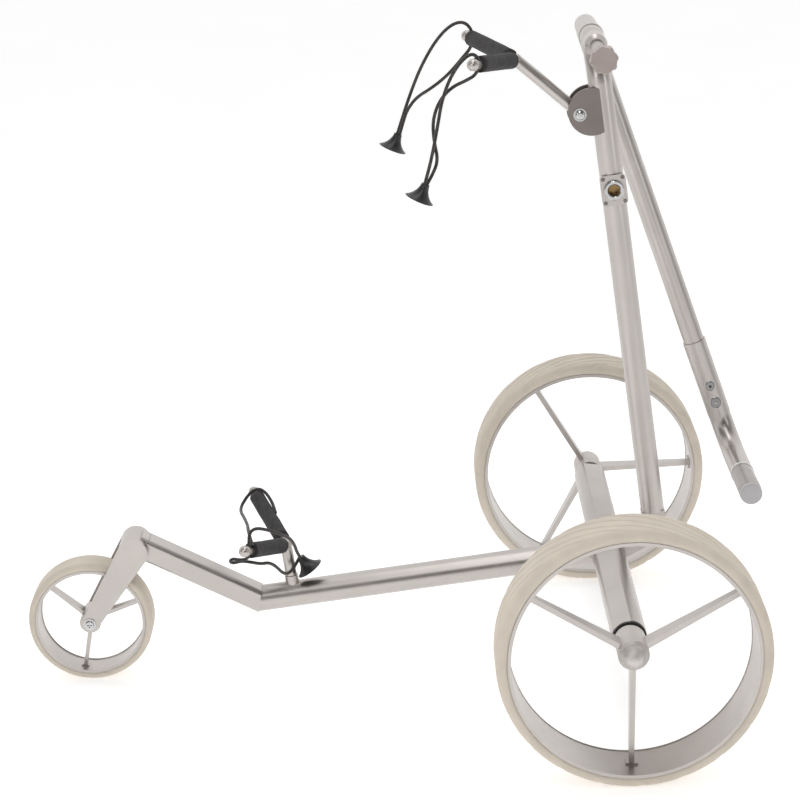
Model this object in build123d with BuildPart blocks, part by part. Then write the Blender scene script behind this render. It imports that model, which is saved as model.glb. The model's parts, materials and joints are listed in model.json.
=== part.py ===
from build123d import *
import math
import os

os.makedirs("parts", exist_ok=True)

# Three-wheel folding golf trolley with its handle folded down behind the post.
# +Z is up, the front wheel points to -Y, the handle hangs on the +Y side, +X is the left-hand side
# of the cart. The origin is on the ground under the middle of the object.

# ---------------------------------------------------------------- driving dimensions (mm)
REAR_OD = 305.0            # rear tyre, 12 inch nominal
REAR_WIDTH = 64.0          # rear rim, across
RIM_LIP = 0.9              # height of the rim edges outside the band
REAR_OUTER_X = 340.0       # outer face of a rear wheel from the middle plane
RIM_IN_R = 135.8           # inside of the rear rim's rolled edge
FRONT_OD = 152.4           # front tyre, 6 inch nominal
FRONT_WIDTH = 37.5
FRONT_RIM_IN_R = 64.0
WHEELBASE = 636.5
BASE_TUBE_D = 32.0
BASE_TILT = 7.4            # degrees that the base tube rises towards the rear axle
RAIL_TILT = 27.2           # degrees that the front rail rises towards the fork
RAIL_W, RAIL_H = 32.0, 28.0
BEND_Y = 427.4             # rail to base tube bend, ahead of the rear axle
POST_D = 28.0
POST_BACK = 60.2           # post axis behind the rear axle, along the base tube
PIVOT_UP = 22.0            # post fold pivot above the base tube axis
HEAD_UP = 619.2            # handle hinge axis above the base tube axis, along the post
POST_BEND_R = 45.0
HANDLE_D = 26.0
HANDLE_X = -180.0          # straight part of the handle
HANDLE_LEN = 583.0         # hinge axis to grip axis
HANDLE_LEAN = 19.33        # degrees behind vertical at rest
HANDLE_BEND_R = 45.0
GRIP_D = 27.4
GRIP_END_X = 10.0
HOUSING_D = 40.0
HOUSING_FLAT = 17.0        # flat milled along each half of the axle housing, from its axis
HOUSING_END_X = 270.0
STUB_D = 12.0              # wheel stub axle
CORD_D = 4.0
FIT = 0.05                 # radial running clearance

# ---------------------------------------------------------------- worked-out places
REAR_R = REAR_OD / 2
FRONT_R = FRONT_OD / 2
REAR_REACH = 186.6         # rear axle to the back of the grip
AXLE_Y = (WHEELBASE + FRONT_R - REAR_REACH) / 2
AXLE_Z = REAR_R
tilt = math.radians(BASE_TILT)
ALONG = Vector(0, math.cos(tilt), math.sin(tilt))     # along the base tube, to the rear
UP = Vector(0, -math.sin(tilt), math.cos(tilt))       # along the post
AXLE = Vector(0, AXLE_Y, AXLE_Z)
lean = math.radians(HANDLE_LEAN)
DOWN = Vector(0, math.sin(lean), -math.cos(lean))     # along the hanging handle
SIDEWAYS = Vector(1, 0, 0)


def at(x, back, z):
    """Point from the rear axle: x across, back behind the axle, z above the ground."""
    return Vector(x, AXLE_Y + back, z)


def on_post(up, ahead=0.0, x=0.0):
    """Point beside the post: up along it from the base tube axis, ahead of its axis."""
    return AXLE + ALONG * (POST_BACK - ahead) + UP * up + SIDEWAYS * x


def on_beam(along, up=0.0, x=0.0):
    """Point beside the base tube: along it from the rear axle, up square to it."""
    return AXLE + ALONG * along + UP * up + SIDEWAYS * x


HEAD = on_post(HEAD_UP)
PIVOT = on_post(PIVOT_UP)
GRIP = HEAD + DOWN * HANDLE_LEN


def on_handle(down):
    """Point on the axis of the handle's long tube, down along it from the hinge axis."""
    return HEAD + DOWN * down + SIDEWAYS * HANDLE_X


def across(x, point):
    """Plane square to X whose local x runs along Y and local y along Z."""
    return Plane(origin=(x, point.Y, point.Z), x_dir=(0, 1, 0), z_dir=(1, 0, 0))


def facing(point, direction, x_dir=(1, 0, 0)):
    """Plane at a point, square to a direction, with its local x along X."""
    return Plane(origin=point, x_dir=x_dir, z_dir=direction)


def save(part, name):
    part.label = name
    export_step(part, f"parts/{name}.step")


def rod(point, direction, radius, length, mode=Mode.ADD):
    """Adds a cylinder from a point to the part being built."""
    with BuildSketch(facing(point, direction, x_dir=square_to(direction))) as outline:
        Circle(radius)
    extrude(outline.sketch, amount=length, mode=mode)


def square_to(direction):
    """Any direction square to the given one."""
    if abs(direction.X) < 0.9 * direction.length:
        return direction.cross(Vector(1, 0, 0))
    return direction.cross(Vector(0, 0, 1))


def drill(point, direction, radius, length):
    """Takes a cylinder away from the part being built."""
    rod(point, direction, radius, length, Mode.SUBTRACT)


def disc(x0, x1, point, outer, inner=0.0):
    """Adds a disc or ring about an X axis through a point."""
    with BuildSketch(across(x0, point)) as outline:
        Circle(outer)
        if inner:
            Circle(inner, mode=Mode.SUBTRACT)
    extrude(outline.sketch, amount=x1 - x0)


# ---------------------------------------------------------------- frame
MITRE = at(0, -BEND_Y, AXLE_Z - BEND_Y * math.tan(tilt))
rise = math.radians(RAIL_TILT)
RAIL_DIR = Vector(0, -math.cos(rise), math.sin(rise))          # from the bend up to the fork
RAIL_UP = Vector(0, math.sin(rise), math.cos(rise))
RAIL_LEN = 155.6                                                # bend to the fork head
LUG_R = 21.5                                                    # axle joint barrel
TUBE_WALL = 2.0
MITRE_NORMAL = Vector(0, math.cos((tilt - rise) / 2), math.sin((tilt - rise) / 2))
STEM_AT = -389.0                                                # lower bracket along the base tube
STEM_R = 7.0
SPIGOT_R = 6.0
OVERRUN = 40.0

with BuildPart() as axle_barrel_space:
    disc(-26, 26, AXLE, LUG_R)

with BuildPart() as base_tube:
    with BuildSketch(facing(MITRE - ALONG * OVERRUN, ALONG)):
        Circle(BASE_TUBE_D / 2)
        Circle(BASE_TUBE_D / 2 - TUBE_WALL, mode=Mode.SUBTRACT)
    extrude(amount=BEND_Y / math.cos(tilt) + OVERRUN)
    split(bisect_by=Plane(origin=MITRE, z_dir=MITRE_NORMAL), keep=Keep.TOP)
    add(axle_barrel_space.part, mode=Mode.SUBTRACT)
    drill(on_beam(STEM_AT), UP, SPIGOT_R + FIT, BASE_TUBE_D)
save(base_tube.part, "base_tube")

with BuildPart() as front_rail:
    with BuildSketch(facing(MITRE - RAIL_DIR * OVERRUN, RAIL_DIR)):
        RectangleRounded(RAIL_W, RAIL_H, 6.0)
        RectangleRounded(RAIL_W - 2 * TUBE_WALL, RAIL_H - 2 * TUBE_WALL, 4.0, mode=Mode.SUBTRACT)
    extrude(amount=RAIL_LEN + OVERRUN)
    split(bisect_by=Plane(origin=MITRE, z_dir=MITRE_NORMAL), keep=Keep.BOTTOM)
save(front_rail.part, "front_rail")

FRONT_AXLE = at(0, -WHEELBASE, FRONT_R)
CROWN = at(0, -579.6, 167.4)                                    # top of the fork
ARM_IN_X = 20.5
ARM_T = 4.5
CROWN_R = 18.2
HEAD_GAP = 0.5              # visible line between the rail and the fork head
ARM_FOOT_R = 10.5
AXLE_ROD_R = 4.0
fork_dir = (CROWN - FRONT_AXLE).normalized()

with BuildPart() as fork_crown:
    disc(-ARM_IN_X, ARM_IN_X, CROWN, CROWN_R)
    with BuildSketch(facing(MITRE, RAIL_DIR)):
        RectangleRounded(RAIL_W + 2 * HEAD_GAP, RAIL_H + 2 * HEAD_GAP, 6.0)
    extrude(amount=RAIL_LEN + HEAD_GAP, mode=Mode.SUBTRACT)
    with BuildSketch(facing(MITRE + RAIL_DIR * (RAIL_LEN + HEAD_GAP), RAIL_DIR)):
        RectangleRounded(RAIL_W, RAIL_H, 6.0)
    extrude(amount=10.0)
    with BuildSketch(facing(MITRE + RAIL_DIR * (RAIL_LEN - 12.0), RAIL_DIR)):
        RectangleRounded(RAIL_W - 2 * TUBE_WALL, RAIL_H - 2 * TUBE_WALL, 4.0)
    extrude(amount=14.0)
save(fork_crown.part, "fork_crown")

with BuildPart() as fork_arms:
    for x0 in (ARM_IN_X, -ARM_IN_X - ARM_T):
        with BuildSketch(across(x0, CROWN)):
            foot = FRONT_AXLE - CROWN
            with BuildLine():
                top = (0.0, 0.0)
                low = (foot.Y, foot.Z)
                side = Vector(fork_dir.Z, -fork_dir.Y, 0)
                Polyline(
                    (top[0] + side.X * CROWN_R, top[1] + side.Y * CROWN_R),
                    (low[0] + side.X * ARM_FOOT_R, low[1] + side.Y * ARM_FOOT_R),
                    (low[0] - side.X * ARM_FOOT_R, low[1] - side.Y * ARM_FOOT_R),
                    (top[0] - side.X * CROWN_R, top[1] - side.Y * CROWN_R),
                    close=True,
                )
            make_face()
            Circle(CROWN_R)
            with Locations(low):
                Circle(ARM_FOOT_R)
                Circle(AXLE_ROD_R, mode=Mode.SUBTRACT)
        extrude(amount=ARM_T)
save(fork_arms.part, "fork_arms")

with BuildPart() as front_axle:
    disc(-ARM_IN_X - ARM_T, ARM_IN_X + ARM_T, FRONT_AXLE, AXLE_ROD_R)
save(front_axle.part, "front_axle")

with BuildPart() as front_axle_screws:
    for side in (1, -1):
        with BuildSketch(across(side * (ARM_IN_X + ARM_T), FRONT_AXLE)):
            Circle(7.5)
        extrude(amount=side * 1.2)
        with BuildSketch(across(side * (ARM_IN_X + ARM_T + 1.2), FRONT_AXLE)):
            Circle(5.5)
        extrude(amount=side * 2.6, taper=18)
        with BuildSketch(across(side * (ARM_IN_X + ARM_T + 1.6), FRONT_AXLE)):
            Rectangle(6.4, 1.3)
            Rectangle(1.3, 6.4)
        extrude(amount=side * 4.0, mode=Mode.SUBTRACT)
save(front_axle_screws.part, "front_axle_screws")

CHEEK_IN_X = 11.0
CHEEK_T = 6.0
EYE_R = 12.0
PIN_R = 5.0

with BuildPart() as axle_joint:
    disc(-24, 24, AXLE, LUG_R)
    for x0 in (CHEEK_IN_X, -CHEEK_IN_X - CHEEK_T):
        with BuildSketch(across(x0, AXLE)):
            hub = PIVOT - AXLE
            reach = Vector(hub.Y, hub.Z, 0)
            flat = reach.normalized()
            square = Vector(-flat.Y, flat.X, 0)
            with BuildLine():
                Polyline(
                    (square.X * 14, square.Y * 14),
                    (reach.X + square.X * EYE_R, reach.Y + square.Y * EYE_R),
                    (reach.X - square.X * EYE_R, reach.Y - square.Y * EYE_R),
                    (-square.X * 14, -square.Y * 14),
                    close=True,
                )
            make_face()
            with Locations((reach.X, reach.Y)):
                Circle(EYE_R)
        extrude(amount=CHEEK_T)
    drill(PIVOT - SIDEWAYS * 24, SIDEWAYS, PIN_R, 48)
    drill(AXLE - SIDEWAYS * 24, SIDEWAYS, 9.0, 48)
save(axle_joint.part, "axle_joint")

with BuildPart() as post_hinge_pin:
    disc(-CHEEK_IN_X - CHEEK_T, CHEEK_IN_X + CHEEK_T, PIVOT, PIN_R)
    for side in (1, -1):
        with BuildSketch(across(side * (CHEEK_IN_X + CHEEK_T), PIVOT)):
            Circle(8.0)
        extrude(amount=side * 3.0, taper=20)
save(post_hinge_pin.part, "post_hinge_pin")

HOUSING_BORE_R = 15.3
MOTOR_X0, MOTOR_X1 = 34.0, 124.0
GEAR_X1 = 176.0
BEARING_INNER_X, BEARING_OUTER_X, BEARING_W = 184.0, 250.0, 12.0
FLAT_TILT = {1: 27.0, -1: -7.0}                                # flat's normal, degrees ahead of up
WHEEL_MID_X = REAR_OUTER_X - REAR_WIDTH / 2
HUB_X0, HUB_X1 = 276.5, 324.0
STUB_X0 = 178.0


def housing(side):
    with BuildPart() as shell:
        with BuildSketch(across(side * 24.0, AXLE)):
            Circle(HOUSING_D / 2)
            ahead = math.radians(90 + FLAT_TILT[side])
            spot = (HOUSING_FLAT + 10) * math.cos(ahead), (HOUSING_FLAT + 10) * math.sin(ahead)
            with Locations(Location((spot[0], spot[1], 0), (0, 0, 90 + FLAT_TILT[side]))):
                Rectangle(20, 60, mode=Mode.SUBTRACT)
            Circle(HOUSING_BORE_R, mode=Mode.SUBTRACT)
        extrude(amount=side * (HOUSING_END_X - 24.0))
    return shell.part


save(housing(1), "axle_housing_left")
save(housing(-1), "axle_housing_right")

with BuildPart() as drive_motors:
    for side in (1, -1):
        with BuildSketch(across(side * MOTOR_X0, AXLE)):
            Circle(HOUSING_BORE_R)
        extrude(amount=side * (MOTOR_X1 - MOTOR_X0))
save(drive_motors.part, "drive_motors")

with BuildPart() as drive_gearboxes:
    for side in (1, -1):
        with BuildSketch(across(side * MOTOR_X1, AXLE)):
            Circle(HOUSING_BORE_R)
        extrude(amount=side * (GEAR_X1 - MOTOR_X1))
save(drive_gearboxes.part, "drive_gearboxes")

with BuildPart() as axle_bearings:
    for side in (1, -1):
        for x0 in (BEARING_INNER_X, BEARING_OUTER_X):
            with BuildSketch(across(side * x0, AXLE)):
                Circle(HOUSING_BORE_R)
                Circle(STUB_D / 2 + FIT, mode=Mode.SUBTRACT)
            extrude(amount=side * BEARING_W)
save(axle_bearings.part, "axle_bearings")

with BuildPart() as axle_seals:
    for side in (1, -1):
        with BuildSketch(across(side * HOUSING_END_X, AXLE)):
            Circle(19.3 if side > 0 else 16.9)
            Circle(STUB_D / 2 + 0.6, mode=Mode.SUBTRACT)
        extrude(amount=side * 4.0)
save(axle_seals.part, "axle_seals")

with BuildPart() as lower_collar:
    rod(on_beam(STEM_AT, 8.0), UP, 8.25, 17.0)
    drill(on_beam(STEM_AT, 0.0), UP, SPIGOT_R + FIT, 40.0)
    drill(MITRE, ALONG, BASE_TUBE_D / 2, 120.0)
save(lower_collar.part, "lower_collar")


# ---------------------------------------------------------------- wheels
def tyre(mid_x, centre, outer, inner, seat_half, half, shoulder):
    """Tyre ring about the axle: a narrower seat between the rim's edges, rounded shoulders."""
    with BuildPart() as ring:
        with BuildSketch(Plane(origin=(mid_x, centre.Y, centre.Z), x_dir=(1, 0, 0),
                               z_dir=(0, -1, 0))) as ring_outline:
            step = inner + RIM_LIP
            with BuildLine():
                Polyline((-half, outer), (-half, step), (-seat_half, step), (-seat_half, inner),
                         (seat_half, inner), (seat_half, step), (half, step), (half, outer), close=True)
            make_face()
            fillet(ring_outline.vertices().group_by(Axis.Y)[-1], shoulder)
        revolve(axis=Axis(centre, (1, 0, 0)))
    return ring.part


def rim(mid_x, centre, edge_in, band_in, band_out, half):
    """Thin band with a small raised edge on each side."""
    with BuildPart() as band:
        with BuildSketch(Plane(origin=(mid_x, centre.Y, centre.Z), x_dir=(1, 0, 0), z_dir=(0, -1, 0))):
            with Locations((0, (band_in + band_out) / 2)):
                Rectangle(2 * half, band_out - band_in)
            edge_mid = (edge_in + band_out + RIM_LIP) / 2
            with Locations((half - 1, edge_mid), (1 - half, edge_mid)):
                Rectangle(2, band_out + RIM_LIP - edge_in)
        revolve(axis=Axis(centre, (1, 0, 0)))
    return band.part


def spokes(mid_x, centre, first, hub_r, rim_r, hub_w, rim_w, thick, foot_w, foot_t):
    """Three flat bars from hub to rim, tapering outwards, each on a small curved foot."""
    with BuildPart() as bars:
        for k in range(3):
            angle = math.radians(first + 120 * k)
            out = Vector(0, math.cos(angle), math.sin(angle))
            flat = Vector(0, -math.sin(angle), math.cos(angle))
            bar_plane = Plane(origin=(mid_x, centre.Y, centre.Z), x_dir=(1, 0, 0), z_dir=flat)
            with BuildSketch(bar_plane):
                sign = 1 if bar_plane.y_dir.dot(out) > 0 else -1
                with BuildLine():
                    Polyline((-hub_w / 2, sign * (hub_r - 1)), (hub_w / 2, sign * (hub_r - 1)),
                             (rim_w / 2, sign * (rim_r + 2)), (-rim_w / 2, sign * (rim_r + 2)), close=True)
                make_face()
            extrude(amount=thick / 2, both=True)
            reach = math.degrees(foot_w / 2 / rim_r)
            start = angle - math.radians(reach)
            spot = Vector(0, math.cos(start), math.sin(start))
            with BuildSketch(Plane(origin=(mid_x, centre.Y, centre.Z), x_dir=(1, 0, 0),
                                   z_dir=Vector(1, 0, 0).cross(spot))):
                with Locations((0, rim_r - foot_t / 2 + 1)):
                    Rectangle(rim_w + 4, foot_t + 2)
            revolve(axis=Axis(centre, (1, 0, 0)), revolution_arc=2 * reach)
        with BuildSketch(across(mid_x - 40, centre)):
            Circle(rim_r + 30)
            Circle(rim_r, mode=Mode.SUBTRACT)
        extrude(amount=80, mode=Mode.SUBTRACT)
        with BuildSketch(across(mid_x - 40, centre)):
            Circle(hub_r)
        extrude(amount=80, mode=Mode.SUBTRACT)
    return bars.part


SPOKE_MID_X = 306.0
for side, name, first in ((1, "left", 30.0), (-1, "right", 2.0)):
    save(tyre(side * WHEEL_MID_X, AXLE, REAR_R, 138.8, 30.0, 31.6, 9.0), f"{name}_tyre")
    save(rim(side * WHEEL_MID_X, AXLE, RIM_IN_R, 136.4, 138.8, REAR_WIDTH / 2), f"{name}_rim")
    save(spokes(side * SPOKE_MID_X, AXLE, first, 17.5, 136.4, 22.0, 10.0, 6.0, 14.0, 2.0), f"{name}_spokes")
    with BuildPart() as rear_hub:
        with BuildSketch(across(side * HUB_X0, AXLE)):
            Circle(17.5)
        extrude(amount=side * (HUB_X1 - HUB_X0))
        hub_end = rear_hub.faces().sort_by(Axis.X)[-1 if side > 0 else 0]
        chamfer(hub_end.edges(), 3.3, 3.3)
        with BuildSketch(across(side * STUB_X0, AXLE)):
            Circle(STUB_D / 2)
        extrude(amount=side * (HUB_X1 - STUB_X0))
    save(rear_hub.part, f"{name}_hub")
    with BuildPart() as hub_cap:
        with BuildSketch(across(side * HUB_X1, AXLE)):
            Circle(14.0)
        extrude(amount=side * 14.0)
        outer_face = hub_cap.faces().sort_by(Axis.X)[-1 if side > 0 else 0]
        fillet(outer_face.edges(), 13.2)
    save(hub_cap.part, f"{name}_hub_cap")

save(tyre(0, FRONT_AXLE, FRONT_R, 66.6, 16.5, 18.6, 6.0), "front_tyre")
save(rim(0, FRONT_AXLE, FRONT_RIM_IN_R, 64.8, 66.6, FRONT_WIDTH / 2), "front_rim")
save(spokes(0, FRONT_AXLE, 20.0, 13.0, 64.8, 15.0, 8.0, 4.4, 9.0, 1.6), "front_spokes")
with BuildPart() as front_hub:
    disc(-19.5, 19.5, FRONT_AXLE, 13.0, AXLE_ROD_R + FIT)
save(front_hub.part, "front_hub")

# ---------------------------------------------------------------- post
POST_START = 49.5
STUB_END_X = -52.0
COLLAR_R = 14.7             # hinge discs at the head
POST_WALL = 2.0
SOCKET_UP = 449.0
PLATE_UP = 543.4
BOLT_AHEAD, BOLT_UP = 28.2, 542.2
BOLT = on_post(BOLT_UP, BOLT_AHEAD)
SPINDLE_R = 4.0
SOCKET_R = 9.0
SOCKET_FLOOR = 7.3


def post_path():
    """Straight post, then a bend to the right-hand side, ending in a short stub."""
    corner = on_post(HEAD_UP)
    with BuildLine() as line:
        FilletPolyline(on_post(POST_START), corner, corner + SIDEWAYS * STUB_END_X, radius=POST_BEND_R)
    return line.line


def swept(path, start, direction, outer, inner=0.0):
    """Round tube along a path of lines and arcs."""
    with BuildPart() as tube:
        with BuildSketch(facing(start, direction, x_dir=square_to(direction))):
            Circle(outer)
            if inner:
                Circle(inner, mode=Mode.SUBTRACT)
        sweep(path=path)
    return tube.part


post_solid = swept(post_path(), on_post(POST_START), UP, POST_D / 2)
with BuildPart() as post_tube:
    add(swept(post_path(), on_post(POST_START), UP, POST_D / 2, POST_D / 2 - POST_WALL))
    drill(HEAD - SIDEWAYS * 40, SIDEWAYS, SPINDLE_R + 1.0, 60)
    drill(on_post(SOCKET_UP), SIDEWAYS, SOCKET_R, 30)
save(post_tube.part, "post_tube")

with BuildPart() as post_foot:
    rod(on_post(POST_START), UP, POST_D / 2 - POST_WALL, 16.0)
    rod(on_post(POST_START - 6), UP, POST_D / 2, 6.0)
    with BuildSketch(across(-CHEEK_IN_X + 0.3, PIVOT)):
        Circle(11.5)
        with Locations(Location((0, 0, 0), (0, 0, BASE_TILT))):
            with Locations((0, 11.0)):
                Rectangle(POST_D, 22)
    extrude(amount=2 * (CHEEK_IN_X - 0.3))
    drill(PIVOT - SIDEWAYS * 30, SIDEWAYS, PIN_R + FIT, 60)
save(post_foot.part, "post_foot")

with BuildPart() as pivot_collar:
    disc(-60.0, STUB_END_X, HEAD, COLLAR_R, SPINDLE_R + FIT)
save(pivot_collar.part, "pivot_collar")

with BuildPart() as knob_boss:
    with BuildSketch(Plane(origin=HEAD, x_dir=(1, 0, 0), z_dir=(0, -1, 0))):
        with BuildLine():
            Polyline((-30, SPINDLE_R + FIT), (-30, 13), (14, 13), (19, 9.6), (25, 9.2),
                     (25, SPINDLE_R + FIT), close=True)
        make_face()
    revolve(axis=Axis(HEAD, (1, 0, 0)))
    add(post_solid, mode=Mode.SUBTRACT)
    with BuildSketch(across(-60, HEAD)):
        Circle(40)
    extrude(amount=45, mode=Mode.SUBTRACT)
save(knob_boss.part.solids().sort_by(Axis.X)[-1], "knob_boss")

with BuildPart() as socket_flange:
    with BuildSketch(facing(on_post(SOCKET_UP, x=8.0), SIDEWAYS, x_dir=ALONG)):
        RectangleRounded(30.0, 36.0, 5.0)
        Circle(SOCKET_R, mode=Mode.SUBTRACT)
    extrude(amount=8.5)
    add(post_solid, mode=Mode.SUBTRACT)
save(socket_flange.part, "socket_flange")

with BuildPart() as socket_ring:
    disc(SOCKET_FLOOR, 16.5, on_post(SOCKET_UP), SOCKET_R, 7.0)
    with BuildSketch(across(16.5, on_post(SOCKET_UP))):
        Circle(11.7)
        Circle(7.0, mode=Mode.SUBTRACT)
    extrude(amount=4.0)
    chamfer(socket_ring.faces().sort_by(Axis.X)[-1].edges(), 1.0)
save(socket_ring.part, "socket_ring")

with BuildPart() as socket_insert:
    disc(4.0, SOCKET_FLOOR, on_post(SOCKET_UP), SOCKET_R)
save(socket_insert.part, "socket_insert")

with BuildPart() as socket_screws:
    for b in (-11.4, 11.4):
        for u in (-14.2, 14.2):
            spot = on_post(SOCKET_UP + u, -b, 16.5)
            with BuildSketch(facing(spot, SIDEWAYS, x_dir=ALONG)):
                Circle(2.4)
            extrude(amount=1.3, taper=15)
            with BuildSketch(facing(spot + SIDEWAYS * 0.6, SIDEWAYS, x_dir=ALONG)):
                RegularPolygon(1.2, 6)
            extrude(amount=2.0, mode=Mode.SUBTRACT)
save(socket_screws.part, "socket_screws")

PLATE_IN_X, PLATE_OUT_X = 9.8, 13.8
with BuildPart() as bracket_plates:
    for x0 in (PLATE_IN_X, -PLATE_OUT_X):
        centre = on_post(PLATE_UP, 13.8)
        with BuildSketch(across(x0, centre)):
            Circle(27.8)
        extrude(amount=PLATE_OUT_X - PLATE_IN_X)
    with BuildSketch(facing(on_post(PLATE_UP - 60, -30), UP)):
        Rectangle(60, 60)
    extrude(amount=120, mode=Mode.SUBTRACT)
    drill(on_post(PLATE_UP - 60), UP, POST_D / 2, 120)
    drill(BOLT - SIDEWAYS * 20, SIDEWAYS, 4.0, 40)
save(bracket_plates.part, "bracket_plates")

with BuildPart() as bracket_bolt:
    disc(-PLATE_OUT_X, PLATE_OUT_X, BOLT, 4.0)
    disc(PLATE_OUT_X, PLATE_OUT_X + 1.3, BOLT, 7.6)
    disc(PLATE_OUT_X + 1.3, PLATE_OUT_X + 5.9, BOLT, 5.8)
    fillet(bracket_bolt.faces().sort_by(Axis.X)[-1].edges(), 3.4)
    with BuildSketch(across(-PLATE_OUT_X, BOLT)):
        RegularPolygon(7.5, 6)
    extrude(amount=-6.0)
save(bracket_bolt.part, "bracket_bolt")

# ---------------------------------------------------------------- handle clamp
KNOB_X0, KNOB_X1 = 100.0, 122.0
with BuildPart() as clamp_spindle:
    disc(-66.0, 25.4, HEAD, SPINDLE_R)
    disc(25.4, KNOB_X0, HEAD, 7.2)
save(clamp_spindle.part, "clamp_spindle")

with BuildPart() as clamp_knob:
    disc(KNOB_X0, KNOB_X0 + 5, HEAD, 9.5)
    with BuildSketch(across(KNOB_X0 + 5, HEAD)):
        Circle(14.4)
        with PolarLocations(12.2, 8, start_angle=12):
            Circle(3.8)
    extrude(amount=KNOB_X1 - KNOB_X0 - 5)
    fillet(clamp_knob.faces().sort_by(Axis.X)[-1].edges(), 1.2)
save(clamp_knob.part, "clamp_knob")

# ---------------------------------------------------------------- handle
SLEEVE_AT, SLEEVE_END = 434.0, HANDLE_LEN - HANDLE_BEND_R
DIAL_X0, DIAL_X1 = -66.0, 3.0
RING_W = 4.0
SLEEVE_D = 29.0


def handle_path(first, last):
    with BuildLine() as line:
        FilletPolyline(HEAD + SIDEWAYS * first, HEAD + SIDEWAYS * HANDLE_X, on_handle(last),
                       radius=HANDLE_BEND_R)
    return line.line


with BuildPart() as handle_tube:
    add(swept(handle_path(-68.0, SLEEVE_AT + 14), HEAD + SIDEWAYS * -68.0, SIDEWAYS * -1,
              HANDLE_D / 2, HANDLE_D / 2 - 2.0))
    disc(-68.0, -60.3, HEAD, COLLAR_R, SPINDLE_R + FIT)
save(handle_tube.part, "handle_tube")

BUTTON_UP, BUTTON_LOW = 494.6, 518.2
BUTTON_R, BUTTON_LOW_R = 5.4, 6.2
with BuildPart() as handle_sleeve:
    rod(on_handle(SLEEVE_AT), DOWN, SLEEVE_D / 2, SLEEVE_END - SLEEVE_AT)
    drill(on_handle(SLEEVE_AT), DOWN, HANDLE_D / 2, 14.0)
    drill(on_handle(SLEEVE_AT + 14), DOWN, HANDLE_D / 2 - 2.0, SLEEVE_END - SLEEVE_AT - 14)
    drill(on_handle(BUTTON_UP), SIDEWAYS, BUTTON_R + 0.1, 20)
    drill(on_handle(BUTTON_LOW), SIDEWAYS, BUTTON_LOW_R + 0.1, 20)
save(handle_sleeve.part, "handle_sleeve")

with BuildPart() as button_upper:
    rod(on_handle(BUTTON_UP) + SIDEWAYS * 11.5, SIDEWAYS, BUTTON_R, 4.6)
save(button_upper.part, "button_upper")
with BuildPart() as button_lower:
    rod(on_handle(BUTTON_LOW) + SIDEWAYS * 11.5, SIDEWAYS, BUTTON_LOW_R, 4.2)
save(button_lower.part, "button_lower")

grip_corner = on_handle(HANDLE_LEN)
with BuildPart() as grip_elbow:
    with BuildLine() as grip_line:
        FilletPolyline(on_handle(SLEEVE_END), grip_corner, Vector(DIAL_X0 - RING_W, GRIP.Y, GRIP.Z),
                       radius=HANDLE_BEND_R - 0.01)
    with BuildSketch(facing(on_handle(SLEEVE_END), DOWN)):
        Circle(GRIP_D / 2 + 0.3)
        Circle(GRIP_D / 2 - 3.0, mode=Mode.SUBTRACT)
    sweep(path=grip_line.line)
save(grip_elbow.part, "grip_elbow")

with BuildPart() as grip_ring:
    disc(DIAL_X0 - RING_W, DIAL_X0, GRIP, GRIP_D / 2 + 0.7)
    disc(DIAL_X0, DIAL_X0 + 50, GRIP, 6.0)
save(grip_ring.part, "grip_ring")

with BuildPart() as speed_dial:
    disc(DIAL_X0 + 0.3, DIAL_X1, GRIP, GRIP_D / 2)
    drill(Vector(DIAL_X0, GRIP.Y, GRIP.Z), SIDEWAYS, 6.0 + FIT, 50.3)
save(speed_dial.part, "speed_dial")

with BuildPart() as dial_cap:
    disc(DIAL_X1, GRIP_END_X, GRIP, GRIP_D / 2 - 0.3)
    fillet(dial_cap.faces().sort_by(Axis.X)[-1].edges(), 2.2)
save(dial_cap.part, "dial_cap")

# ---------------------------------------------------------------- bag brackets
PRONG_R = 5.0
BALL_R = 7.0
FOAM_R = 9.4
PRONG_X = 103.0
FOAM_X0, FOAM_X1 = 12.0, 88.0
HOLE_X = 92.0
HOLE_R = 3.0               # cord hole through each prong
CONE_LEN = 19.0


def prong_point(root, tip, x):
    """Point of a prong at a distance x from the middle plane."""
    share = abs(x) / PRONG_X
    place = root + (tip - root) * share
    return Vector(math.copysign(abs(x), x) if x else 0.0, place.Y, place.Z)


def add_prongs(root, tip):
    for side in (1, -1):
        end = Vector(side * PRONG_X, tip.Y, tip.Z)
        direction = (end - root).normalized()
        rod(root, direction, PRONG_R, (end - root).length)
        with Locations(end):
            Sphere(BALL_R)
    with Locations(root):
        Sphere(7.4)
    for side in (1, -1):
        hole = prong_point(root, tip, HOLE_X)
        drill(Vector(side * HOLE_X, hole.Y, hole.Z - 12), Vector(0, 0, 1), HOLE_R, 24)


def foam_sleeves(root, tip):
    with BuildPart() as sleeves:
        for side in (1, -1):
            near = prong_point(root, tip, FOAM_X0)
            far = prong_point(root, tip, FOAM_X1)
            start = Vector(side * near.X, near.Y, near.Z)
            end = Vector(side * far.X, far.Y, far.Z)
            rod(start, (end - start).normalized(), FOAM_R, (end - start).length)
            drill(start, (end - start).normalized(), PRONG_R, (end - start).length)
    return sleeves.part


UPPER_ROOT = at(0, -110.8, 756.7)
UPPER_TIP = at(PRONG_X, -163.6, 769.3)
with BuildPart() as upper_bracket_frame:
    disc(-9.4, 9.4, BOLT, 10.0)
    arm = UPPER_ROOT - BOLT
    rod(BOLT, arm.normalized(), 7.0, arm.length)
    add_prongs(UPPER_ROOT, UPPER_TIP)
    drill(BOLT - SIDEWAYS * 20, SIDEWAYS, 4.0 + FIT, 40)
save(upper_bracket_frame.part, "upper_bracket_frame")
save(foam_sleeves(UPPER_ROOT, UPPER_TIP), "upper_foam_sleeves")

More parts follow.
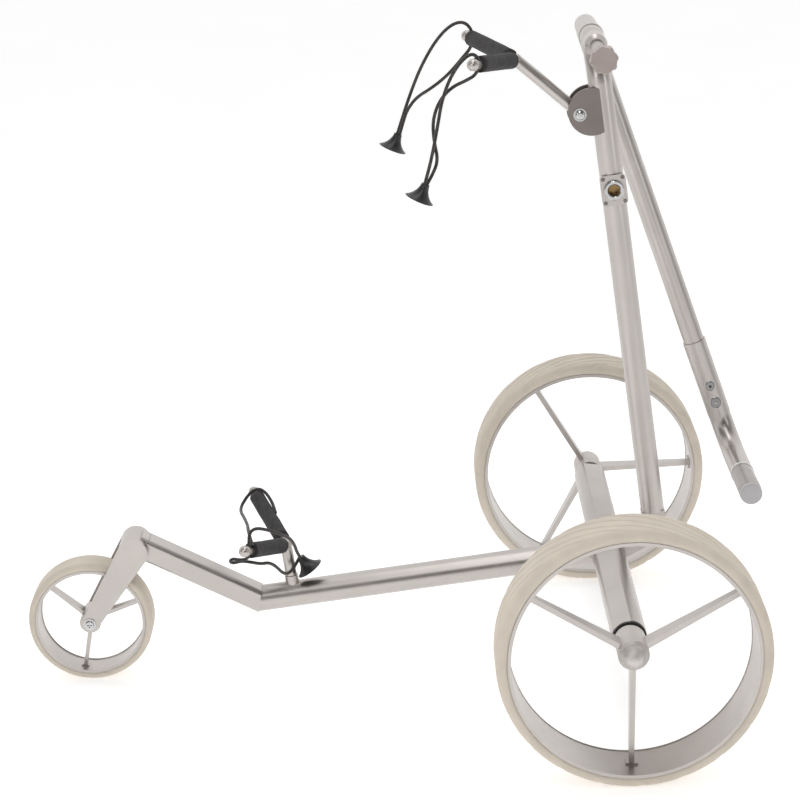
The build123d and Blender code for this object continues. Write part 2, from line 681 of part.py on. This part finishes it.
LOWER_ROOT = on_beam(STEM_AT, 64.3)
LOWER_TIP = at(PRONG_X, -437.6, 198.8)
with BuildPart() as lower_bracket_frame:
    rod(on_beam(STEM_AT, 25.3), UP, STEM_R, 39.0)
    rod(on_beam(STEM_AT, -2.0), UP, SPIGOT_R, 27.5)
    add_prongs(LOWER_ROOT, LOWER_TIP)
save(lower_bracket_frame.part, "lower_bracket_frame")
save(foam_sleeves(LOWER_ROOT, LOWER_TIP), "lower_foam_sleeves")


def cone_part(apex, mouth, wall=2.2, mouth_r=17.0, neck_r=4.8):
    """Hollow rubber pull cone: solid neck at the cords, thin skirt, open mouth."""
    axis = (mouth - apex).normalized()
    side = square_to(axis).normalized()
    with BuildPart() as cone:
        with BuildSketch(Plane(origin=apex, x_dir=side, z_dir=side.cross(axis))):
            with BuildLine():
                Line((0, 0), (neck_r, 0))
                ThreePointArc((neck_r, 0), (neck_r + 3.8, CONE_LEN * 0.60), (mouth_r, CONE_LEN))
                Polyline((mouth_r, CONE_LEN), (mouth_r - wall, CONE_LEN), (0, CONE_LEN * 0.42), (0, 0))
            make_face()
        revolve(axis=Axis(apex, axis))
    return cone.part


def route(points):
    return [at(x, back, z) for x, back, z in points]


def cord(name, points):
    """Round cord along straight runs joined by the largest tangent arcs that fit."""
    path = route(points)
    radii = []
    for before, here, after in zip(path, path[1:], path[2:]):
        run_in, run_out = here - before, after - here
        turn = math.radians(run_in.get_angle(run_out))
        radii.append(0.45 * min(run_in.length, run_out.length) / math.tan(turn / 2))
    with BuildLine() as line:
        FilletPolyline(*path, radius=radii)
    tube = swept(line.line, path[0], (path[1] - path[0]).normalized(), CORD_D / 2)
    length = sum(edge.length for edge in line.line.edges())
    print(name, "length", round(length, 1), "volume ratio",
          round(tube.volume / (math.pi * CORD_D ** 2 / 4 * length), 4), "radii", [round(r) for r in radii])
    save(tube, name)


UPPER_LEFT_ROUTE = [
    (98.6, -219.6, 633.0), (100.0, -214.0, 652.0), (101.2, -208.6, 676.0), (101.6, -203.4, 703.0),
    (100.6, -198.8, 729.0), (98.6, -190.0, 753.0), (96.2, -178.0, 771.5), (93.6, -165.0, 781.5),
    (92.0, -156.4, 774.5), (92.0, -158.8, 757.5), (91.2, -170.0, 750.5), (90.8, -187.5, 743.0),
    (91.4, -202.0, 727.0), (92.2, -209.2, 705.0), (92.8, -207.6, 681.0), (93.4, -203.6, 662.0),
    (94.4, -208.6, 647.0), (95.0, -216.6, 633.6),
]
UPPER_RIGHT_ROUTE = [
    (-98.0, -249.0, 652.4), (-99.0, -241.6, 675.0), (-100.0, -232.6, 701.0), (-100.4, -219.6, 733.0),
    (-99.4, -202.6, 763.0), (-97.0, -184.6, 783.0), (-94.0, -168.0, 788.6), (-92.0, -157.0, 777.0),
    (-92.0, -158.8, 757.5), (-92.6, -168.0, 747.0), (-93.0, -178.0, 735.0), (-93.4, -189.6, 722.6),
    (-94.0, -207.0, 709.0), (-94.4, -225.0, 698.4), (-94.4, -236.6, 683.0), (-94.6, -241.6, 668.0),
    (-94.6, -246.0, 652.9),
]
upper_cones = cone_part(at(96.8, -217.8, 634.6), at(96.8, -225.4, 617.4))
upper_cones += cone_part(at(-96.3, -247.4, 654.0), at(-96.3, -254.6, 636.6))
save(upper_cones, "upper_cones")
save(cone_part(at(8, -376.4, 153.2), at(8, -365.2, 137.4)), "lower_cone")
cord("upper_cord_left", UPPER_LEFT_ROUTE)
cord("upper_cord_right", UPPER_RIGHT_ROUTE)

LOWER_LEFT_ROUTE = [
    (11.0, -376.6, 153.6), (22.0, -379.8, 164.0), (36.0, -382.4, 181.6), (50.0, -388.4, 195.6),
    (62.0, -397.6, 204.2), (72.0, -411.2, 213.4), (81.0, -424.4, 219.6), (89.0, -432.0, 217.6),
    (92.0, -433.0, 207.0), (92.0, -433.0, 191.0), (92.0, -436.0, 184.4), (91.0, -445.0, 183.0),
    (90.0, -453.0, 184.6), (88.6, -457.0, 181.0), (86.6, -453.4, 177.4), (82.0, -444.0, 178.4),
    (76.0, -433.8, 174.6), (67.0, -421.3, 168.2), (57.0, -412.4, 166.0), (46.0, -404.6, 156.6),
    (34.0, -397.0, 142.0), (24.0, -389.6, 138.6), (14.0, -382.6, 145.0), (6.0, -377.6, 152.4),
]
LOWER_RIGHT_ROUTE = [
    (92.0, -428.6, 200.4), (78.0, -432.4, 206.6), (52.0, -436.0, 205.0), (22.0, -438.6, 200.8),
    (-12.0, -443.6, 195.2), (-44.0, -448.8, 189.6), (-68.0, -452.6, 184.8), (-86.0, -453.6, 184.8),
    (-95.0, -449.6, 190.4), (-97.6, -441.6, 200.2), (-95.6, -432.6, 206.0), (-90.0, -424.0, 204.6),
    (-80.0, -416.8, 198.8), (-66.0, -411.0, 192.2), (-54.0, -408.6, 188.0),
]
cord("lower_cord_left", LOWER_LEFT_ROUTE)
cord("lower_cord_right", LOWER_RIGHT_ROUTE)
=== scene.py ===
import json
import math

import bpy
import numpy as np
from mathutils import Matrix, Vector


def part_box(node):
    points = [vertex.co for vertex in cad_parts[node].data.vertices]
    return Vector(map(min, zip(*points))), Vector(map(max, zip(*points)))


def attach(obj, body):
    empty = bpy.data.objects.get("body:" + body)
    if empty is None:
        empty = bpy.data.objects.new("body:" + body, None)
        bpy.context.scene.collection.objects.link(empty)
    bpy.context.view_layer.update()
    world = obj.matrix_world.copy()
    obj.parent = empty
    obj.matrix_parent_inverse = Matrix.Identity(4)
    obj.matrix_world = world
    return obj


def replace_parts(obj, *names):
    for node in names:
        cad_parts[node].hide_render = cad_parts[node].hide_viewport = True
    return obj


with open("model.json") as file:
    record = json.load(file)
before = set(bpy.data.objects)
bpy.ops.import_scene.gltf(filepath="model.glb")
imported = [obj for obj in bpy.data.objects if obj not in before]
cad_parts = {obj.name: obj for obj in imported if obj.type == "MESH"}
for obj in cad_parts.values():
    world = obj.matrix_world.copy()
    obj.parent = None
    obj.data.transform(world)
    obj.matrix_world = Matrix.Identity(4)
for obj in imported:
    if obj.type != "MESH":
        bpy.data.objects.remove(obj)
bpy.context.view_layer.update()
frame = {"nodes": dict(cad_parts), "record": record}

nodes = frame["nodes"]

# ---------------------------------------------------------------- driving sizes (metres)
REAR_R = 0.1525
AXLE = Vector((0, 0.26305, REAR_R))
FRONT_AXLE = Vector((0, AXLE.y - 0.6365, 0.0762))
CORD_D = 0.004


def at(x, back, z):
    """Point from the rear axle, in millimetres: x across, back behind the axle, z above the ground."""
    return Vector((x / 1000, AXLE.y + back / 1000, z / 1000))


# ---------------------------------------------------------------- camera
CAM_DOWN = math.radians(17.658)
CAM_ROLL = math.radians(-1.0686)
CAM_PLACE = Vector((2.7064, AXLE.y - 0.2513, 1.2111))
CAM_LENS = 106.44

view = Vector((-math.cos(CAM_DOWN), 0, -math.sin(CAM_DOWN)))
level_right = Vector((0, 1, 0))
level_up = level_right.cross(view)
cam_right = math.cos(CAM_ROLL) * level_right + math.sin(CAM_ROLL) * level_up
cam_up = -math.sin(CAM_ROLL) * level_right + math.cos(CAM_ROLL) * level_up
camera_data = bpy.data.cameras.new("camera")
camera_data.sensor_width = 36
camera_data.lens = CAM_LENS
camera_data.clip_end = 50
camera = bpy.data.objects.new("camera", camera_data)
bpy.context.collection.objects.link(camera)
camera.matrix_world = Matrix((
    (cam_right.x, cam_up.x, -view.x, CAM_PLACE.x),
    (cam_right.y, cam_up.y, -view.y, CAM_PLACE.y),
    (cam_right.z, cam_up.z, -view.z, CAM_PLACE.z),
    (0, 0, 0, 1),
))
bpy.context.scene.camera = camera


# ---------------------------------------------------------------- material helpers
def new_material(name):
    material = bpy.data.materials.new(name)
    material.use_nodes = True
    shader = material.node_tree.nodes["Principled BSDF"]
    return material, material.node_tree, shader


def noise(tree, scale, detail=4.0, stretch=(1, 1, 1)):
    """Noise over object space, optionally stretched along an axis."""
    coord = tree.nodes.new("ShaderNodeTexCoord")
    mapping = tree.nodes.new("ShaderNodeMapping")
    mapping.inputs["Scale"].default_value = stretch
    texture = tree.nodes.new("ShaderNodeTexNoise")
    texture.inputs["Scale"].default_value = scale
    texture.inputs["Detail"].default_value = detail
    tree.links.new(coord.outputs["Object"], mapping.inputs["Vector"])
    tree.links.new(mapping.outputs["Vector"], texture.inputs["Vector"])
    return texture.outputs["Fac"]


def ramp(tree, value, low, high, start=0.3, end=0.7):
    node = tree.nodes.new("ShaderNodeValToRGB")
    node.color_ramp.elements[0].position = start
    node.color_ramp.elements[1].position = end
    node.color_ramp.elements[0].color = low
    node.color_ramp.elements[1].color = high
    tree.links.new(value, node.inputs["Fac"])
    return node.outputs["Color"]


def spread(tree, value, low, high):
    node = tree.nodes.new("ShaderNodeMapRange")
    node.inputs["To Min"].default_value = low
    node.inputs["To Max"].default_value = high
    tree.links.new(value, node.inputs["Value"])
    return node.outputs["Result"]


def bump(tree, shader, value, strength, distance):
    node = tree.nodes.new("ShaderNodeBump")
    node.inputs["Strength"].default_value = strength
    node.inputs["Distance"].default_value = distance
    tree.links.new(value, node.inputs["Height"])
    tree.links.new(node.outputs["Normal"], shader.inputs["Normal"])


def rgba(colour, factor=1.0):
    return (colour[0] * factor, colour[1] * factor, colour[2] * factor, 1)


def surface(name, colour, rough, metallic=0.0, vary=0.08, patch=25.0, grain=900.0, grain_depth=0.00003,
            stretch=(1, 1, 1), coat=0.0):
    """General material: colour drifts in patches, roughness varies and a fine grain breaks the gloss."""
    material, tree, shader = new_material(name)
    patches = noise(tree, patch)
    tree.links.new(ramp(tree, patches, rgba(colour, 1 - vary), rgba(colour, 1 + vary)),
                   shader.inputs["Base Color"])
    tree.links.new(spread(tree, noise(tree, patch * 3), rough * 0.85, rough * 1.15),
                   shader.inputs["Roughness"])
    shader.inputs["Metallic"].default_value = metallic
    shader.inputs["Coat Weight"].default_value = coat
    bump(tree, shader, noise(tree, grain, 2.0, stretch), 0.35, grain_depth)
    return material


# ---------------------------------------------------------------- materials
TITANIUM = (0.52, 0.485, 0.46)
DARK_METAL = (0.25, 0.22, 0.205)
TAN_RUBBER = (0.67, 0.60, 0.51)
MATERIALS = {
    "frame_metal": surface("frame_metal", TITANIUM, 0.34, 1.0, 0.04, 18, 1400, 0.00002),
    "dark_metal": surface("dark_metal", DARK_METAL, 0.42, 0.9, 0.06, 30, 1400, 0.00003),
    "bright_metal": surface("bright_metal", (0.55, 0.55, 0.55), 0.10, 1.0, 0.02, 40, 900, 0.00001),
    "steel": surface("steel", (0.45, 0.43, 0.41), 0.35, 1.0, 0.06, 60, 700, 0.00003, (1, 12, 12)),
    "bearing_steel": surface("bearing_steel", (0.6, 0.6, 0.6), 0.2, 1.0, 0.03, 60, 900, 0.00001),
    "polished_alloy": surface("polished_alloy", (0.52, 0.52, 0.52), 0.16, 1.0, 0.03, 60, 1200, 0.00001),
    "satin_metal": surface("satin_metal", (0.66, 0.625, 0.60), 0.56, 0.75, 0.03, 40, 1600, 0.00002),
    "knob_metal": surface("knob_metal", (0.42, 0.36, 0.335), 0.42, 0.85, 0.05, 60, 1600, 0.00003),
    "brass": surface("brass", (0.30, 0.20, 0.09), 0.3, 1.0, 0.08, 90, 1200, 0.00002),
    "tyre": surface("tyre", TAN_RUBBER, 0.72, 0.0, 0.05, 30, 1800, 0.00005),
    "foam": surface("foam", (0.055, 0.052, 0.054), 0.92, 0.0, 0.25, 120, 2600, 0.00018),
    "cone_rubber": surface("cone_rubber", (0.018, 0.017, 0.017), 0.34, 0.0, 0.2, 80, 1500, 0.00003),
    "seal_rubber": surface("seal_rubber", (0.02, 0.02, 0.02), 0.6, 0.0, 0.2, 80, 1500, 0.00004),
    "white_plastic": surface("white_plastic", (0.80, 0.79, 0.76), 0.3, 0.0, 0.03, 60, 1500, 0.00002),
    "dial_plastic": surface("dial_plastic", (0.42, 0.39, 0.375), 0.38, 0.5, 0.06, 60, 1800, 0.00003),
    "light_cap": surface("light_cap", (0.50, 0.485, 0.50), 0.35, 0.0, 0.04, 60, 1500, 0.00002),
    "button_plastic": surface("button_plastic", (0.34, 0.33, 0.33), 0.3, 0.4, 0.05, 60, 1500, 0.00002),
}
# Woven sleeve of the elastic cord: one set of fine ribs from a distorted wave pattern.
material, tree, shader = new_material("cord")
weave_coord = tree.nodes.new("ShaderNodeTexCoord")
weave = tree.nodes.new("ShaderNodeTexWave")
weave.inputs["Scale"].default_value = 420
weave.inputs["Distortion"].default_value = 2.5
tree.links.new(weave_coord.outputs["Object"], weave.inputs["Vector"])
tree.links.new(ramp(tree, weave.outputs["Fac"], (0.016, 0.013, 0.012, 1), (0.050, 0.042, 0.038, 1)),
               shader.inputs["Base Color"])
shader.inputs["Roughness"].default_value = 0.7
shader.inputs["Sheen Weight"].default_value = 0.25
bump(tree, shader, weave.outputs["Fac"], 0.5, 0.0002)
MATERIALS["cord"] = material

slot_of = {s["node"]: s["material_slot"] for s in frame["record"]["subparts"]}
OWN_FINISH = {"socket_screws": "dark_metal", "bracket_plates": "dark_metal",
              "left_hub_cap": "satin_metal", "right_hub_cap": "satin_metal",
              "left_hub": "satin_metal", "right_hub": "satin_metal"}
for name, node in nodes.items():
    finish = MATERIALS[OWN_FINISH.get(name, slot_of[name])]
    if not node.data.materials:
        node.data.materials.append(finish)
    for index in range(len(node.data.materials)):
        node.data.materials[index] = finish


# ---------------------------------------------------------------- cords
def cord(name, body, route):
    """Elastic cord as a smooth NURBS spline led by the route's control points."""
    curve = bpy.data.curves.new(name, "CURVE")
    curve.dimensions = "3D"
    curve.bevel_depth = CORD_D / 2
    curve.bevel_resolution = 4
    curve.resolution_u = 8
    spline = curve.splines.new("NURBS")
    spline.points.add(len(route) - 1)
    for point, (x, back, z) in zip(spline.points, route):
        point.co = (*at(x, back, z), 1)
    spline.order_u = 3
    spline.use_endpoint_u = True
    piece = bpy.data.objects.new(name + "_elastic", curve)
    bpy.context.collection.objects.link(piece)
    curve.materials.append(MATERIALS["cord"])
    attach(piece, body)
    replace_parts(piece, name)


UPPER_LEFT_ROUTE = [
    (98.6, -219.6, 633.0), (100.0, -214.0, 652.0), (101.2, -208.6, 676.0), (101.6, -203.4, 703.0),
    (100.6, -198.8, 729.0), (98.6, -190.0, 753.0), (96.2, -178.0, 771.5), (93.6, -165.0, 781.5),
    (92.0, -156.4, 774.5), (92.0, -158.8, 757.5), (91.2, -170.0, 750.5), (90.8, -187.5, 743.0),
    (91.4, -202.0, 727.0), (92.2, -209.2, 705.0), (92.8, -207.6, 681.0), (93.4, -203.6, 662.0),
    (94.4, -208.6, 647.0), (95.0, -216.6, 633.6),
]
UPPER_RIGHT_ROUTE = [
    (-98.0, -249.0, 652.4), (-99.0, -241.6, 675.0), (-100.0, -232.6, 701.0), (-100.4, -219.6, 733.0),
    (-99.4, -202.6, 763.0), (-97.0, -184.6, 783.0), (-94.0, -168.0, 788.6), (-92.0, -157.0, 777.0),
    (-92.0, -158.8, 757.5), (-92.6, -168.0, 747.0), (-93.0, -178.0, 735.0), (-93.4, -189.6, 722.6),
    (-94.0, -207.0, 709.0), (-94.4, -225.0, 698.4), (-94.4, -236.6, 683.0), (-94.6, -241.6, 668.0),
    (-94.6, -246.0, 652.9),
]
LOWER_LEFT_ROUTE = [
    (11.0, -376.6, 153.6), (22.0, -379.8, 164.0), (36.0, -382.4, 181.6), (50.0, -388.4, 195.6),
    (62.0, -397.6, 204.2), (72.0, -411.2, 213.4), (81.0, -424.4, 219.6), (89.0, -432.0, 217.6),
    (92.0, -433.0, 207.0), (92.0, -433.0, 191.0), (92.0, -436.0, 184.4), (91.0, -445.0, 183.0),
    (90.0, -453.0, 184.6), (88.6, -457.0, 181.0), (86.6, -453.4, 177.4), (82.0, -444.0, 178.4),
    (76.0, -433.8, 174.6), (67.0, -421.3, 168.2), (57.0, -412.4, 166.0), (46.0, -404.6, 156.6),
    (34.0, -397.0, 142.0), (24.0, -389.6, 138.6), (14.0, -382.6, 145.0), (6.0, -377.6, 152.4),
]
LOWER_RIGHT_ROUTE = [
    (92.0, -428.6, 200.4), (78.0, -432.4, 206.6), (52.0, -436.0, 205.0), (22.0, -438.6, 200.8),
    (-12.0, -443.6, 195.2), (-44.0, -448.8, 189.6), (-68.0, -452.6, 184.8), (-86.0, -453.6, 184.8),
    (-95.0, -449.6, 190.4), (-97.6, -441.6, 200.2), (-95.6, -432.6, 206.0), (-90.0, -424.0, 204.6),
    (-80.0, -416.8, 198.8), (-66.0, -411.0, 192.2), (-54.0, -408.6, 188.0),
]
cord("upper_cord_left", "upper_bracket", UPPER_LEFT_ROUTE)
cord("upper_cord_right", "upper_bracket", UPPER_RIGHT_ROUTE)
cord("lower_cord_left", "lower_bracket", LOWER_LEFT_ROUTE)
cord("lower_cord_right", "lower_bracket", LOWER_RIGHT_ROUTE)


# ---------------------------------------------------------------- mesh helpers
def mesh_object(name, points, faces, body, material, smooth=True):
    mesh = bpy.data.meshes.new(name)
    mesh.from_pydata([tuple(p) for p in points], [], faces)
    mesh.update()
    if smooth:
        mesh.polygons.foreach_set("use_smooth", [True] * len(mesh.polygons))
    mesh.materials.append(MATERIALS[material])
    piece = bpy.data.objects.new(name, mesh)
    bpy.context.collection.objects.link(piece)
    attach(piece, body)
    return piece


# ---------------------------------------------------------------- tyres with cut grooves
GROOVE_HALF = 0.0050         # half a groove's width, measured round the tyre


def tyre(name, node, body, centre, outer, inner, half, shoulder, grooves, depth, sweep, handed):
    """Ring with S-shaped grooves across its tread: a profile of points repeated round the axle."""
    low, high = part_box(node)
    mid_x = (low.x + high.x) / 2
    profile = []
    across_steps, corner_steps = 48, 6
    for i in range(across_steps + 1):
        profile.append((-half + shoulder + (2 * half - 2 * shoulder) * i / across_steps, outer))
    for i in range(1, corner_steps + 1):
        turn = math.pi / 2 * i / corner_steps
        profile.append((half - shoulder + shoulder * math.sin(turn),
                        outer - shoulder + shoulder * math.cos(turn)))
    profile += [(half, inner + 0.0012), (half - 0.0016, inner + 0.0009), (half - 0.0016, inner)]
    profile += [(-half + 0.0016, inner), (-half + 0.0016, inner + 0.0009), (-half, inner + 0.0012)]
    for i in range(corner_steps, 0, -1):
        turn = math.pi / 2 * i / corner_steps
        profile.append((-half + shoulder - shoulder * math.sin(turn),
                        outer - shoulder + shoulder * math.cos(turn)))
    profile = np.array(profile)
    around = 960
    angle = np.linspace(0, 2 * math.pi, around, endpoint=False)[:, None]
    x = profile[None, :, 0] + 0 * angle
    radius = profile[None, :, 1] + 0 * angle
    share = x / half
    wave = sweep * np.sin(share * math.pi * 0.5 * handed) * np.abs(share) ** 0.35
    phase = (angle + wave) * grooves / (2 * math.pi)
    away = np.abs(phase - np.round(phase)) * 2 * math.pi * outer / grooves
    cut = np.clip(1 - away / GROOVE_HALF, 0, 1) ** 0.6 * depth
    on_tread = np.clip((profile[None, :, 1] - (outer - shoulder * 0.75)) / (shoulder * 0.3), 0, 1)
    radius = radius - cut * on_tread
    y = centre.y + radius * np.cos(angle)
    z = centre.z + radius * np.sin(angle)
    points = np.stack([mid_x + x, y, z], axis=-1).reshape(-1, 3)
    count = len(profile)
    faces = []
    for a in range(around):
        b = (a + 1) % around
        for p in range(count):
            q = (p + 1) % count
            faces.append((a * count + p, a * count + q, b * count + q, b * count + p))
    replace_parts(mesh_object(name, points, faces, body, "tyre"), node)


REAR_TREAD = (REAR_R, 0.1388, 0.0316, 0.009, 20, 0.0020, 0.62)
tyre("left_tread", "left_tyre", "left_wheel", AXLE, *REAR_TREAD, 1)
tyre("right_tread", "right_tyre", "right_wheel", AXLE, *REAR_TREAD, -1)
tyre("front_tread", "front_tyre", "front_wheel", FRONT_AXLE, 0.0762, 0.0666, 0.0186, 0.006, 1, 0.0, 0.0, 1)


# ---------------------------------------------------------------- foam sleeves
def foam_sleeve(name, start, end, radius, body, node_names, seed):
    """Soft tube over an arm: closed square ends, each with a shallow notch beside it, and an uneven skin."""
    axis = end - start
    length = axis.length
    axis.normalize()
    side = axis.cross(Vector((0, 0, 1))).normalized()
    top = side.cross(axis)
    steps, lip, notch_steps = 60, 0.0028, 6
    bore = (0.0008, radius * 0.56)
    notch = []
    for i in range(notch_steps + 1):
        turn = math.pi / 2 * i / notch_steps
        notch.append((lip * (1 - math.sin(turn)), radius - lip * (1 - math.sin(turn))))
    barrel = [(lip + (length - 2 * lip) * i / steps, radius) for i in range(steps + 1)]
    far_end = [(length - a, r) for a, r in reversed([bore] + notch)]
    stations = [bore] + notch[::-1] + barrel + far_end
    around = 40
    points, faces = [], []
    for a, r in stations:
        swell = 0.00006 * math.sin(a * 190 + seed) + 0.00008 * math.sin(a * 71 + 2 * seed)
        for k in range(around):
            turn = 2 * math.pi * k / around
            here = r + swell + 0.00005 * math.sin(3 * turn + a * 120 + seed)
            points.append(start + axis * a + side * here * math.cos(turn) + top * here * math.sin(turn))
    for s in range(len(stations) - 1):
        for k in range(around):
            n = (k + 1) % around
            faces.append((s * around + k, s * around + n, (s + 1) * around + n, (s + 1) * around + k))
    faces.append(tuple(reversed(range(around))))
    faces.append(tuple(range((len(stations) - 1) * around, len(stations) * around)))
    piece = mesh_object(name, points, faces, body, "foam")
    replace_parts(piece, *node_names)


PRONG_X = 103.0
FOAM_X0, FOAM_X1 = 12.0, 88.0
FAR_REACH = 5.0            # the right-hand sleeves have slid this much further out
FOAM_R = 0.0094
ARMS = (("upper", (-110.8, 756.7), (-163.6, 769.3)), ("lower", (-394.0, 166.2), (-437.6, 198.8)))
for level, root, tip in ARMS:
    for number, side in enumerate((1, -1)):
        ends = []
        for x in (FOAM_X0, FOAM_X1 + (FAR_REACH if side < 0 else 0)):
            share = x / PRONG_X
            back, height = (a + (b - a) * share for a, b in zip(root, tip))
            ends.append(at(side * x, back, height))
        foam_sleeve(f"{level}_foam_{'left' if side > 0 else 'right'}", ends[0], ends[1], FOAM_R,
                    f"{level}_bracket", [f"{level}_foam_sleeves"], 1.7 * number + 0.6)

# ---------------------------------------------------------------- button rings, dots and dial marks
def turned(name, centre, profile, body, material, around=48):
    """Solid of revolution about an X axis: profile is (x from the centre, radius), closed at both ends."""
    points, faces = [], []
    for x, radius in profile:
        for k in range(around):
            turn = 2 * math.pi * k / around
            points.append(centre + Vector((x, radius * math.cos(turn), radius * math.sin(turn))))
    for s in range(len(profile) - 1):
        for k in range(around):
            n = (k + 1) % around
            faces.append((s * around + k, s * around + n, (s + 1) * around + n, (s + 1) * around + k))
    faces.append(tuple(reversed(range(around))))
    faces.append(tuple(range((len(profile) - 1) * around, len(profile) * around)))
    return mesh_object(name, points, faces, body, material)


for level, body, dot in (("upper", "button_up", "seal_rubber"), ("lower", "button_low", "polished_alloy")):
    low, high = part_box(f"button_{level}")
    centre = Vector((high.x, (low.y + high.y) / 2, (low.z + high.z) / 2))
    rim_r = (high.y - low.y) / 2
    turned(f"{level}_button_bezel", centre, [(-0.0034, rim_r + 0.0014), (-0.0012, rim_r + 0.0014),
                                             (-0.0006, rim_r + 0.0008), (-0.0010, rim_r + 0.0003),
                                             (-0.0034, rim_r + 0.0003)], "handle", "bright_metal")
    turned(f"{level}_button_dot", centre,
           [(-0.0004, rim_r * 0.30), (0.0007, rim_r * 0.28), (0.0010, rim_r * 0.12)], body, dot)

low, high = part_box("speed_dial")
dial_mid = Vector((0, (low.y + high.y) / 2, (low.z + high.z) / 2))
dial_r = (high.z - low.z) / 2
MARK_UP = math.radians(48)       # marks sit on the side that faces up and out


def dial_mark(name, x0, x1, turn0, turn1):
    """Thin raised patch on the dial between two places along it and two angles round it."""
    steps = 10
    points, faces = [], []
    for i in range(steps + 1):
        turn = turn0 + (turn1 - turn0) * i / steps
        for x in (x0, x1):
            for r in (dial_r - 0.0003, dial_r + 0.0003):
                points.append(dial_mid + Vector((x, r * math.cos(turn), r * math.sin(turn))))
    for i in range(steps):
        a, b = 4 * i, 4 * (i + 1)
        faces += [(a + 1, b + 1, b + 3, a + 3), (a, a + 2, b + 2, b),
                  (a, b, b + 1, a + 1), (a + 2, a + 3, b + 3, b + 2)]
    faces += [(0, 1, 3, 2), (4 * steps, 4 * steps + 2, 4 * steps + 3, 4 * steps + 1)]
    return mesh_object(name, points, faces, "dial", "white_plastic", smooth=False)


dial_mark("dial_line", low.x + 0.008, high.x - 0.026, MARK_UP - 0.02, MARK_UP + 0.08)
dial_mark("dial_tick", low.x + 0.012, low.x + 0.014, MARK_UP - 0.35, MARK_UP + 0.45)
for number in range(3):
    dial_mark(f"dial_dot_{number + 1}", high.x - 0.022 + 0.006 * number, high.x - 0.020 + 0.006 * number,
              MARK_UP - 0.5, MARK_UP - 0.38)

# ---------------------------------------------------------------- floor and light
material, tree, shader = new_material("floor")
tree.links.new(ramp(tree, noise(tree, 3), (0.90, 0.90, 0.90, 1), (0.93, 0.93, 0.93, 1)),
               shader.inputs["Base Color"])
shader.inputs["Roughness"].default_value = 0.7
shader.inputs["Emission Color"].default_value = (1, 1, 1, 1)
shader.inputs["Emission Strength"].default_value = 0.42
FLOOR_HALF = 40.0
floor_mesh = bpy.data.meshes.new("floor")
floor_mesh.from_pydata([(-FLOOR_HALF, -FLOOR_HALF, 0), (FLOOR_HALF, -FLOOR_HALF, 0),
                        (FLOOR_HALF, FLOOR_HALF, 0), (-FLOOR_HALF, FLOOR_HALF, 0)], [], [(0, 1, 2, 3)])
floor_mesh.materials.append(material)
floor = bpy.data.objects.new("floor", floor_mesh)
bpy.context.collection.objects.link(floor)

world = bpy.data.worlds.new("studio")
bpy.context.scene.world = world
world.use_nodes = True
sky = world.node_tree
sky_coord = sky.nodes.new("ShaderNodeTexCoord")
sky_parts = sky.nodes.new("ShaderNodeSeparateXYZ")
sky_ramp = sky.nodes.new("ShaderNodeValToRGB")
sky_range = sky.nodes.new("ShaderNodeMapRange")
sky_range.inputs["From Min"].default_value = -1
sky.links.new(sky_coord.outputs["Generated"], sky_parts.inputs["Vector"])
sky.links.new(sky_parts.outputs["X"], sky_range.inputs["Value"])
sky.links.new(sky_range.outputs["Result"], sky_ramp.inputs["Fac"])
sky_ramp.color_ramp.elements[0].position = 0.30
sky_ramp.color_ramp.elements[0].color = (1, 1, 1, 1)
sky_ramp.color_ramp.elements[1].position = 0.72
sky_ramp.color_ramp.elements[1].color = (0.05, 0.048, 0.046, 1)
sky.links.new(sky_ramp.outputs["Color"], sky.nodes["Background"].inputs["Color"])
sky.nodes["Background"].inputs["Strength"].default_value = 1.05
bpy.context.scene.view_settings.view_transform = "Standard"


def softbox(name, place, target, size, power):
    data = bpy.data.lights.new(name, "AREA")
    data.shape = "RECTANGLE"
    data.size, data.size_y = size
    data.energy = power
    lamp = bpy.data.objects.new(name, data)
    bpy.context.collection.objects.link(lamp)
    lamp.location = place
    lamp.rotation_euler = (Vector(target) - Vector(place)).to_track_quat("-Z", "Y").to_euler()


softbox("overhead", (0.9, 0.0, 2.4), (0, 0, 0.3), (0.8, 3.4), 20)
softbox("key", (2.4, -1.5, 1.5), (0, 0, 0.35), (0.7, 1.6), 13)
softbox("fill", (1.6, 2.2, 1.2), (0, 0, 0.35), (0.7, 1.6), 6)
